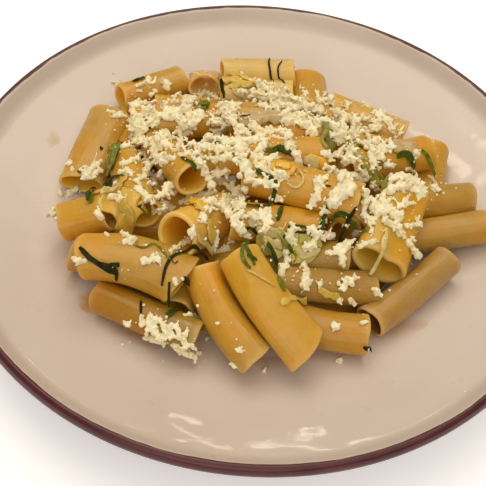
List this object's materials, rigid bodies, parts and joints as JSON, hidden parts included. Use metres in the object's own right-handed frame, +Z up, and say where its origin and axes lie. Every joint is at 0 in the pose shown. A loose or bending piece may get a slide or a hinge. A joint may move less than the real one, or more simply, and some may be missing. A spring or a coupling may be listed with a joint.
{
  "type": "plate of rigatoni with feta and basil",
  "caption": "Wide shallow pasta bowl holding a heap of rigatoni under grated feta, strips of basil and soft pieces of squash.",
  "frame": {"origin": "under the middle of the foot ring, on the surface that the plate stands on", "axes": "+Z up; -Y towards the side from which the dish is seen, +X to its right"},
  "size_m": [0.3, 0.3, 0.0651],
  "materials": {
    "glazed_plate": "glossy warm cream glaze inside, dark maroon glaze on the rolled lip and outside",
    "cooked_pasta": "soft golden pasta with a light film of oil",
    "feta": "matte crumbly cream",
    "squash": "moist translucent yellow to olive",
    "basil": "soft dark green leaf, slightly wilted"
  },
  "bodies": {
    "root": {"plate": "glazed_plate", "rigatoni_heap": "cooked_pasta", "feta_chunk_01": "feta", "feta_chunk_02": "feta", "squash_01": "squash", "squash_02": "squash", "squash_03": "squash", "squash_04": "squash", "squash_05": "squash", "squash_06": "squash", "squash_07": "squash", "squash_08": "squash", "squash_09": "squash", "squash_10": "squash", "squash_11": "squash", "basil_01": "basil", "basil_02": "basil", "basil_03": "basil", "basil_04": "basil", "basil_05": "basil", "basil_06": "basil", "basil_07": "basil", "basil_08": "basil", "basil_09": "basil", "basil_10": "basil", "basil_11": "basil", "basil_12": "basil", "basil_13": "basil", "basil_14": "basil", "basil_15": "basil", "basil_16": "basil", "basil_17": "basil", "basil_18": "basil", "basil_19": "basil", "basil_20": "basil", "basil_21": "basil", "basil_22": "basil", "basil_23": "basil", "basil_24": "basil", "basil_25": "basil"}
  },
  "joints": []
}
